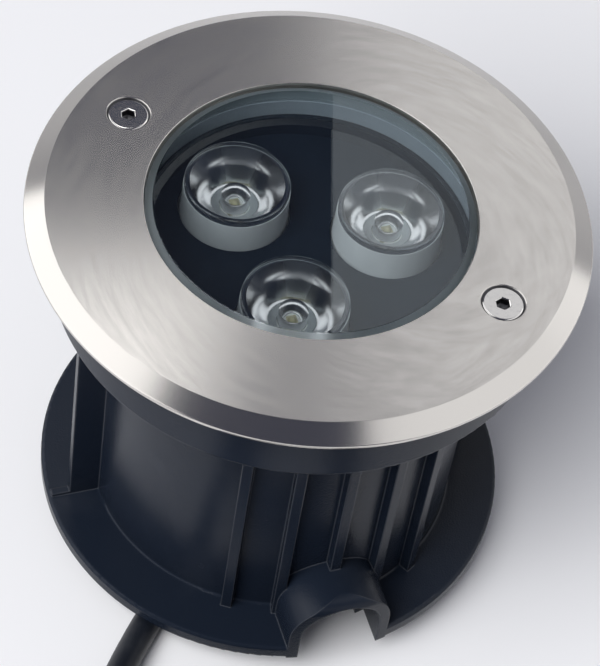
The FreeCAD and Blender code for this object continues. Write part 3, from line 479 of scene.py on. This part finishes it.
def softened(outline, cut, steps=5):
    """An outline with each corner drawn as a quadratic curve that starts and ends a cut away from it. One
    more point a little further out on each side keeps the faces beyond it flat."""
    corner = np.asarray(outline, dtype=float)
    cut = np.broadcast_to(cut, len(corner))[:, None]
    before = cut * unit(np.roll(corner, 1, axis=0) - corner)
    after = cut * unit(np.roll(corner, -1, axis=0) - corner)
    t = np.linspace(0, 1, steps)[:, None, None]
    curve = corner + (1 - t) ** 2 * before + t ** 2 * after
    curve = np.concatenate([[corner + FLAT_FROM * before], curve, [corner + FLAT_FROM * after]])
    return curve.transpose(1, 0, 2).reshape(-1, 2)


ACRYLIC_IOR = 1.49
lens_clear = clear_finish("lens_clear", (0.97, 0.98, 0.98), ACRYLIC_IOR)[0]
lens_cone = clear_finish("lens_cone", (0.95, 0.97, 0.97), ACRYLIC_IOR, 0.15)[0]
for number in (1, 2, 3):
    low, high = (np.array(corner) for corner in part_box(f"tir_lens_{number}"))
    foot, face = low[2], high[2]
    centre = (low + high)[:2] / 2
    sweep = np.linspace(0, 1, 12)
    well = np.column_stack([WELL_RADIUS * sweep, foot + WELL_DEPTH - WELL_CROWN * sweep ** 2])
    cone = np.column_stack([LENS_FOOT + (CONE_RADIUS - LENS_FOOT) * sweep,
                            face - LENS_FLANGE - CONE_DEPTH * (1 - sweep)])
    outline = np.concatenate([
        well, [(WELL_RADIUS, foot), (LENS_FOOT, foot)], cone,
        [(LENS_RADIUS - LIP_WIDTH, face - LENS_FLANGE), (LENS_RADIUS - LIP_WIDTH, face - LIP_DEPTH),
         (LENS_RADIUS, face - LIP_DEPTH), (LENS_RADIUS, face - 2 * LENS_EDGE),
         (LENS_RADIUS, face - LENS_EDGE), (LENS_RADIUS - LENS_EDGE, face),
         (LENS_RADIUS - 2 * LENS_EDGE, face), (0, face)]])
    sheets = [turned(outline, 96, centre)]
    lens = new_piece(f"lens_{number}", sheets, "lamp", lens_clear, smooth=25)
    lens.data.materials.append(lens_cone)
    middles = np.empty(3 * len(lens.data.polygons))
    lens.data.polygons.foreach_get("center", middles)
    middles = middles.reshape(-1, 3)
    reach = np.hypot(*(middles[:, :2] - centre).T)
    below_flange = middles[:, 2] < face - LENS_FLANGE - FLANGE_MARGIN
    on_cone = (reach > LENS_FOOT) & below_flange & (reach < CONE_RADIUS)
    lens.data.polygons.foreach_set("material_index", on_cone.astype(np.int32))
    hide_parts(f"tir_lens_{number}")

# Bezel.
# A satin black plate with an upstanding rim, which hides the board and has a hole for each lens holder.
bezel_black, at = new_finish("bezel_black", (0.004, 0.008, 0.014), 0.5, Specular_IOR_Level=0.1)
vary(bezel_black, Base_Color=at.noise(120, 4).tint((0.003, 0.006, 0.011, 1), (0.006, 0.01, 0.017, 1)),
     Roughness=0.45 + at.noise(150, 3) * 0.2)
dress(bezel_black, "bezel_plate")

# Driver and inner leads.
# A potted driver block is screwed under the housing's web. Brown and blue cores bring it the supply, and a
# red and a black lead take its current up through a rubber grommet to the board.
LEAD_RADIUS = 0.0008
driver_black, at = new_finish("driver_potting", (0.02, 0.02, 0.023), 0.3)
vary(driver_black, Base_Color=at.noise(400, 4).tint((0.018, 0.018, 0.021, 1), (0.035, 0.035, 0.04, 1)),
     Roughness=0.22 + at.noise(700, 3) * 0.25,
     Normal=at.bump(at.noise(300, 3), 0.0001, at.edge_normal_and_mask(0.0004)[0]))
dress(driver_black, "driver_module")
core_finishes["red"] = insulation("lead_red", (0.45, 0.02, 0.02))
core_finishes["black"] = insulation("lead_black", (0.014, 0.014, 0.016))
inner_routes = {
    "led_lead_red": [(12, 15.8, 54.3), (19.9, 15.8, 54.3), (19.9, 15.8, 66.6), (19.9, 15.8, 68.0),
                     (13.2, 15.8, 68.0)],
    "led_lead_black": [(12, 17.6, 52.5), (19.9, 17.6, 52.5), (19.9, 17.6, 66.6), (19.9, 17.6, 68.0),
                       (13.2, 17.6, 68.0)],
    "inner_core_brown": [(-1.3, 0, 40.1), (-1.3, 0, 44.55), (-1.3, -26.4, 44.55), (-1.3, -26.4, 54.3),
                         (-1.3, -22, 54.3)],
    "inner_core_blue": [(1.3, 0, 40.1), (1.3, 0, 44.55), (1.3, -26.4, 44.55), (1.3, -26.4, 54.3),
                        (1.3, -22, 54.3)],
}
for name, points in inner_routes.items():
    _, part, colour = name.split("_")
    radius = LEAD_RADIUS if part == "lead" else CORE_RADIUS
    line = smooth_line(f"{name}_line", MM * np.array(points), steps=10)
    sheets = [tube(line, radius, sides=16, upward=(0.3, 0.5, 0.8))]
    lead = new_piece(f"{name}_wire", sheets, "lamp", core_finishes[colour])
    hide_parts(name)

# Glass gasket.
# A soft silicone ring of U section round the edge of the glass.
gasket_silicone, at = new_finish("gasket_silicone", (0.13, 0.16, 0.18), 0.5)
vary(gasket_silicone, Base_Color=at.noise(300, 3).tint((0.12, 0.15, 0.17, 1), (0.16, 0.19, 0.21, 1)),
     Normal=at.bump(at.noise(1800, 3), 0.00003))
dress(gasket_silicone, "glass_gasket")

# Cover glass.
# One thick disc of toughened clear glass. Its flange sits in the gasket under the ring, and its middle comes
# up through the ring's opening with a ground bevel.
GLASS_RADIUS = 0.036
GLASS_SINK, GLASS_GAP = 0.0004, 0.00025
GLASS_BEVEL, GLASS_DROP = 0.0015, 0.0007
GASKET_LIP = 0.0006
GLASS_IOR = 1.5
GROUND_SHARE, GROUND_COLOUR = 0.075, (0.28, 0.37, 0.38)
RING_OPENING = 0.03235
ring_low, ring_top = (corner[2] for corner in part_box("trim_ring"))
glass_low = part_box("cover_glass")[0][2]
glass_face = ring_top - GLASS_SINK
nose = RING_OPENING - GLASS_GAP
flange_top = ring_low - GASKET_LIP
glass_outline = softened([(0, glass_low), (GLASS_RADIUS, glass_low), (GLASS_RADIUS, flange_top),
                          (nose, flange_top), (nose, glass_face - GLASS_DROP),
                          (nose - GLASS_BEVEL, glass_face), (0, glass_face)],
                         (0, 0.0003, 0.0003, 0.0001, 0.0002, 0.0002, 0))
cover_glass, at = clear_finish("cover_glass", (0.93, 0.965, 0.975), GLASS_IOR)
tree = cover_glass.node_tree
tree.nodes["Principled BSDF"].inputs["Specular Tint"].default_value = (0.87, 0.95, 1.0, 1.0)
surface = tree.nodes["Material Output"].inputs["Surface"]
on_bevel = at.from_axis().step(nose - GLASS_BEVEL - 0.00005, nose - GLASS_BEVEL + 0.00005)
on_edge = on_bevel * at.height().step(ring_low, ring_low + 0.0002)
ground = at.node("BsdfDiffuse", {}, {"Color": (*GROUND_COLOUR, 1)})
polished = Shade(tree, surface.links[0].from_socket)
frosted = at.node("MixShader", {}, {0: on_edge * GROUND_SHARE, 1: polished, 2: ground})
tree.links.new(frosted.socket, surface)
vary(cover_glass, Roughness=on_edge * 0.35)
sheets = [turned(glass_outline, sides=160)]
glass = new_piece("window_glass", sheets, "lamp", cover_glass, smooth=20)
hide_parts("cover_glass")

# Trim ring.
# Stainless steel, turned from plate: a flat top brushed in fine arcs, a polished bevel to a thin outer wall,
# and two countersunk holes for the cover screws.
SCREW_CIRCLE = 0.0415
SCREW_TURNS = (-47, 133)
RING_RADIUS, BEVEL_WIDTH, BEVEL_DROP = 0.055, 0.0039, 0.0024
SINK_RADIUS, HOLE_RADIUS = 0.00435, 0.0022
SINK_EDGE = 0.0001
CELL_HALF, CELL_DEGREES, CELL_ROWS = 0.0066, 9, 6
inner_cell, outer_cell = SCREW_CIRCLE - CELL_HALF, SCREW_CIRCLE + CELL_HALF


def polar(radius, degrees, height):
    """Points from radius, angle and height."""
    turn = np.radians(degrees)
    radius, turn, height = np.broadcast_arrays(radius, turn, height)
    return np.stack([radius * np.cos(turn), radius * np.sin(turn), height], axis=-1)


def hole_cell(turn):
    """The square-ish patch of the ring round one screw hole: straight lines from the patch's border to the
    hole's edge, and the same directions carried down the countersink, the hole and out again underneath."""
    centre = polar(SCREW_CIRCLE, turn, 0.0)
    arc = turn + np.arange(-CELL_DEGREES, CELL_DEGREES)
    rise = inner_cell + (outer_cell - inner_cell) * np.arange(CELL_ROWS) / CELL_ROWS
    fall = rise[::-1] + 2 * CELL_HALF / CELL_ROWS
    border = np.concatenate([polar(inner_cell, arc, 0), polar(rise, turn + CELL_DEGREES, 0),
                             polar(outer_cell, 2 * turn - arc, 0), polar(fall, turn - CELL_DEGREES, 0)])
    way = unit(border - centre)
    share = np.linspace(0, 1, 8)[:, None, None]
    drop = np.array([0, SINK_EDGE, SINK_RADIUS - HOLE_RADIUS, ring_top - ring_low - SINK_EDGE])
    depth = ring_top - SINK_EDGE / 2 - drop
    wall_radius = np.array([SINK_RADIUS + 0.2 * SINK_EDGE, SINK_RADIUS - 0.8 * SINK_EDGE,
                            HOLE_RADIUS, HOLE_RADIUS])
    top = border + share * (centre + way * (SINK_RADIUS + SINK_EDGE) - border) + [0, 0, ring_top]
    wall = centre + way * wall_radius[:, None, None] + np.array([0, 0, 1]) * depth[:, None, None]
    under = border + share[::-1] * (centre + way * (HOLE_RADIUS + SINK_EDGE / 2) - border) + [0, 0, ring_low]
    return np.concatenate([top, wall, under])


def ring_sheets():
    """The ring as turned sheets inside and outside the band of the screw holes, flat sectors between the
    holes, and a patch round each hole."""
    inside = softened([(inner_cell, ring_low), (RING_OPENING, ring_low), (RING_OPENING, ring_top),
                       (inner_cell, ring_top)], (0, 0.0001, 0.00012, 0))
    outside = softened([(outer_cell, ring_top), (RING_RADIUS - BEVEL_WIDTH, ring_top),
                        (RING_RADIUS, ring_top - BEVEL_DROP), (RING_RADIUS, ring_low),
                        (outer_cell, ring_low)], (0, 0.00003, 0.00025, 0.0001, 0))
    sheets = [turned(outline, sides=360) for outline in (inside, outside)]
    rise = np.linspace(inner_cell, outer_cell, CELL_ROWS + 1)[:, None]
    for turn in SCREW_TURNS:
        sector = turn + np.arange(CELL_DEGREES, 180 - CELL_DEGREES + 1)
        sheets += [(polar(rise, sector, height), False) for height in (ring_top, ring_low)]
        sheets.append(hole_cell(turn))
    return sheets


QUARTER_TURN = 0.25
ring_steel, at = new_finish("ring_steel", (0.62, 0.6, 0.57), 0.3, Metallic=1.0, Anisotropic=0.6,
                            Anisotropic_Rotation=QUARTER_TURN)
flat_edge = RING_RADIUS - BEVEL_WIDTH
on_bevel = at.from_axis().step(flat_edge - 0.0001, flat_edge + 0.0003)


MARK_LENGTH = 1 / 90


def belt_marks(at, centre, spacing):
    """Fine long scratches along circles about a point beside the ring's centre: noise that changes fast with
    the distance from that point and slowly along the circle."""
    reach = at.vector_math("DISTANCE", centre, "Value")
    along = at.node("VectorMath", {"operation": "SCALE"}, {0: at, "Scale": 1 / MARK_LENGTH})
    across = at.node("CombineXYZ", {}, {2: reach / spacing})
    return along.vector_math("ADD", across).noise(1.0, 4, 0.65)


first_marks = belt_marks(at, (0.02, -0.0093, 0), 0.0008)
second_marks = belt_marks(at, (0.0021, -0.0143, 0), 0.0009)
share = at.noise(38, 3).step(0.35, 0.65)
brushed = (first_marks * share + second_marks * (1 - share)) * (1 - on_bevel) + 0.5 * on_bevel
# The countersink and the hole are painted dark: partly dirt and oxide, partly painted shade.
off_circle = at.math("ABSOLUTE", at.from_axis() - SCREW_CIRCLE)
below_top = (ring_top - at.height()).step(0.00003, 0.0002)
in_hole = (1 - off_circle.step(SINK_RADIUS + SINK_EDGE, SINK_RADIUS + 2 * SINK_EDGE)) * below_top
groove = brushed.step(0.25, 0.8)
steel = groove.tint((0.665, 0.64, 0.605, 1), (0.565, 0.542, 0.51, 1))
vary(ring_steel, Base_Color=in_hole.tint(steel, (0.07, 0.07, 0.075, 1)),
     Roughness=(0.2 + groove * 0.06) * (1 - on_bevel) + 0.2 * on_bevel + in_hole * 0.25,
     Normal=at.bump(brushed, 0.0000014))
trim_ring = new_piece("steel_ring", ring_sheets(), "trim", ring_steel, smooth=30)
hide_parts("trim_ring")

# Cover screws.
# Two countersunk stainless screws with hex sockets. They go through the ring and the housing into the
# threaded inserts of the sleeve.
HEAD_RADIUS, SHANK_RADIUS = 0.004, 0.002
screw_tip, screw_top = (corner[2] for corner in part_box("cover_screw_1"))
SCREW_LENGTH = screw_top - screw_tip
SOCKET_HALF, SOCKET_DEPTH = 0.00125, 0.0016
SOCKET_TURN = math.radians(20)
THREAD_PITCH, THREAD_DEPTH = 0.0007, 0.0003
CONE_END = HEAD_RADIUS - SHANK_RADIUS + 0.0002
POINT_CHAMFER = 0.0003


def screw_sheet(turn, top):
    """A screw as one sheet from the bottom of its socket to its point: rings that are hexagons in the socket,
    circles on the head and the cone, and a helical ridge on the shank."""
    sides = 48
    angle = np.arange(sides) * math.tau / sides
    hexagon = SOCKET_HALF / np.cos(np.mod(angle, math.tau / 6) - math.tau / 12)
    flat = np.ones(sides)
    down = np.linspace(CONE_END, SCREW_LENGTH - POINT_CHAMFER, 220)
    ridge = np.abs(np.mod(down[:, None] / THREAD_PITCH - angle / math.tau, 1) - 0.5) * 2
    thread = SHANK_RADIUS - THREAD_DEPTH * ridge * np.clip((down - down[0]) / THREAD_PITCH, 0, 1)[:, None]
    rings = [(0 * flat, SOCKET_DEPTH + 0.0004), (hexagon * 0.7, SOCKET_DEPTH + 0.0002),
             (hexagon, SOCKET_DEPTH), (hexagon, 0.00012), (hexagon + 0.0001, 0.00002), (hexagon + 0.0002, 0),
             (hexagon + 0.0003, 0), ((HEAD_RADIUS - 0.0004) * flat, 0), ((HEAD_RADIUS - 0.0003) * flat, 0),
             ((HEAD_RADIUS - 0.00014) * flat, 0.00004), ((HEAD_RADIUS - 0.00003) * flat, 0.00014),
             (HEAD_RADIUS * flat, 0.00025), (SHANK_RADIUS * flat, CONE_END)]
    radius = np.concatenate([np.array([ring for ring, _ in rings]), thread,
                             [SHANK_RADIUS * 0.7 * flat, 0 * flat]])
    depth = np.concatenate([[deep for _, deep in rings], down, [SCREW_LENGTH, SCREW_LENGTH]])
    centre = polar(SCREW_CIRCLE, turn, top)
    angle = angle + SOCKET_TURN
    height = -depth[:, None] + 0 * angle
    return centre + np.stack([radius * np.cos(angle), radius * np.sin(angle), height], axis=-1)


head_steel, at = new_finish("head_steel", (0.62, 0.62, 0.63), 0.12, Metallic=1.0)
scuff = at.noise(1200, 4)
# The hex socket is painted dark: painted shade in the recess.
in_socket = (screw_top - at.height()).step(0.00005, 0.0006)
scuffed_head = scuff.step(0.5, 0.8).tint((0.64, 0.625, 0.605, 1), (0.55, 0.54, 0.53, 1))
vary(head_steel, Base_Color=in_socket.tint(scuffed_head, (0.12, 0.12, 0.125, 1)),
     Roughness=0.08 + scuff * 0.12 + in_socket * 0.25, Normal=at.bump(at.noise(400, 3), 0.00002))
for number, turn in enumerate(SCREW_TURNS, 1):
    sheets = [screw_sheet(turn, screw_top)]
    body = f"screw_{number}"
    screw = new_piece(f"socket_screw_{number}", sheets, body, head_steel, smooth=30)
    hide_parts(f"cover_screw_{number}")

# Floor, studio light and camera.
# A pale floor; soft panels on the left and the right of the picture with a dark ceiling between them, which
# the steel and the glass mirror; a large key light from the front left; and a long lens from above the front.
PICTURE_TURN = math.radians(-25.1)
picture = Matrix.Rotation(PICTURE_TURN, 4, "Z")
FLOOR_HALF = 1.6
floor_corners = FLOOR_HALF * np.array([(-1, -1, 0), (1, -1, 0), (1, 1, 0), (-1, 1, 0)])
floor_mesh = bpy.data.meshes.new("floor")
floor_mesh.from_pydata(floor_corners, [], [(0, 1, 2, 3)])
floor_white, at = new_finish("floor_white", (0.86, 0.86, 0.875), 0.9, Specular_IOR_Level=0.1)
vary(floor_white, Base_Color=at.noise(3, 2).tint((0.86, 0.86, 0.875, 1), (0.87, 0.87, 0.885, 1)))
floor_mesh.materials.append(floor_white)
floor = bpy.data.objects.new("floor", floor_mesh)
bpy.context.scene.collection.objects.link(floor)


def soft_light(name, place, aim, width, height, level, hidden_from=()):
    """A rectangular lamp that shines with the given level all over, placed across, away from and above the
    object as the picture shows it. Rays of the kinds it is hidden from don't meet it."""
    lamp = bpy.data.lights.new(name, "AREA")
    lamp.shape = "RECTANGLE"
    lamp.size, lamp.size_y = width, height
    lamp.energy = level * math.pi * width * height
    holder = bpy.data.objects.new(name, lamp)
    spot = picture @ Vector(place)
    way = picture @ Vector(aim) - spot
    holder.matrix_world = Matrix.Translation(spot) @ way.to_track_quat("-Z", "Y").to_matrix().to_4x4()
    for kind in ("camera", *hidden_from):
        setattr(holder, f"visible_{kind}", False)
    bpy.context.scene.collection.objects.link(holder)


MIRRORED_ONLY = ("diffuse", "transmission")
MATT_ONLY = ("glossy", "transmission")
soft_light("left_panel", (-0.95, -0.1, 0.64), (0, 0, 0.08), 1.72, 1.2, 1.6, MIRRORED_ONLY)
soft_light("upper_left", (-0.246, 0.446, 1.3), (-0.246, 0.447, 0), 0.311, 0.924, 2.8, MIRRORED_ONLY)
soft_light("right_softbox", (0.579, 1.03, 0.95), (0.57887, 1.031, 0), 1.2, 1.1, 0.83, ("diffuse",))
soft_light("right_card", (0.75, 0, 0.63), (0, 0, 0.08), 1.4, 1.1, 1.0, MIRRORED_ONLY)
soft_light("left_key", (-1.02, -1.275, 1.92), (0, 0, 0.05), 1.7, 1.7, 8.1, MATT_ONLY)
soft_light("top_fill", (-0.1, 0, 1.3), (-0.1, 0.001, 0), 1.8, 1.8, 0.25, MATT_ONLY)

# The sky: pale near the horizon for what the camera sees and for reflections, bright on the camera's side
# inside the lenses, dim for the light that it gives, and a dark bluish ceiling everywhere.
CEILING = (0.066, 0.07, 0.1)
SEEN, MIRRORED, IN_LENSES, AMBIENT = 0.76, 0.55, 0.8, 0.1
world = bpy.data.worlds.new("studio")
world.use_nodes = True
bpy.context.scene.world = world
sky = Shade(world.node_tree, world.node_tree.nodes.new("ShaderNodeTexCoord").outputs["Generated"])
rise = sky.height()
away = sky.vector_math("DOT_PRODUCT", picture @ Vector((0, 1, 0)), "Value")
direct = sky.node("LightPath", output="Is Camera Ray")
mirrored = sky.node("LightPath", output="Is Glossy Ray")
through = sky.node("LightPath", output="Is Transmission Ray")
pale = (direct * SEEN + mirrored * (1 - direct) * MIRRORED) * (1 - rise.step(0.1, 0.5)) * (1 - through)
in_lenses = through * (1 - direct) * (1 - away.step(0.05, 0.5)) * IN_LENSES
ambient = (1 - sky.math("MINIMUM", direct + mirrored + through, 1.0)) * AMBIENT
level = pale + in_lenses + ambient
glow = sky.node("CombineColor", {}, {k: level + CEILING[k] for k in range(3)})
world.node_tree.links.new(glow.socket, world.node_tree.nodes["Background"].inputs["Color"])

ELEVATION, ROLL = math.radians(51.264), math.radians(10.002)
CAMERA_PLACE = (-0.13834, -0.29975, 0.46384)
FOCAL_MM, SENSOR_MM = 140.42, 36
camera = bpy.data.cameras.new("camera")
camera.lens = FOCAL_MM
camera.sensor_width = SENSOR_MM
camera.sensor_fit = "AUTO"
camera_object = bpy.data.objects.new("camera", camera)
tilt = Matrix.Rotation(math.pi / 2 - ELEVATION, 4, "X") @ Matrix.Rotation(ROLL, 4, "Z")
camera_object.matrix_world = Matrix.Translation(CAMERA_PLACE) @ picture @ tilt
bpy.context.scene.collection.objects.link(camera_object)
bpy.context.scene.camera = camera_object
bpy.context.scene.view_settings.view_transform = "Standard"

bpy.context.view_layer.update()
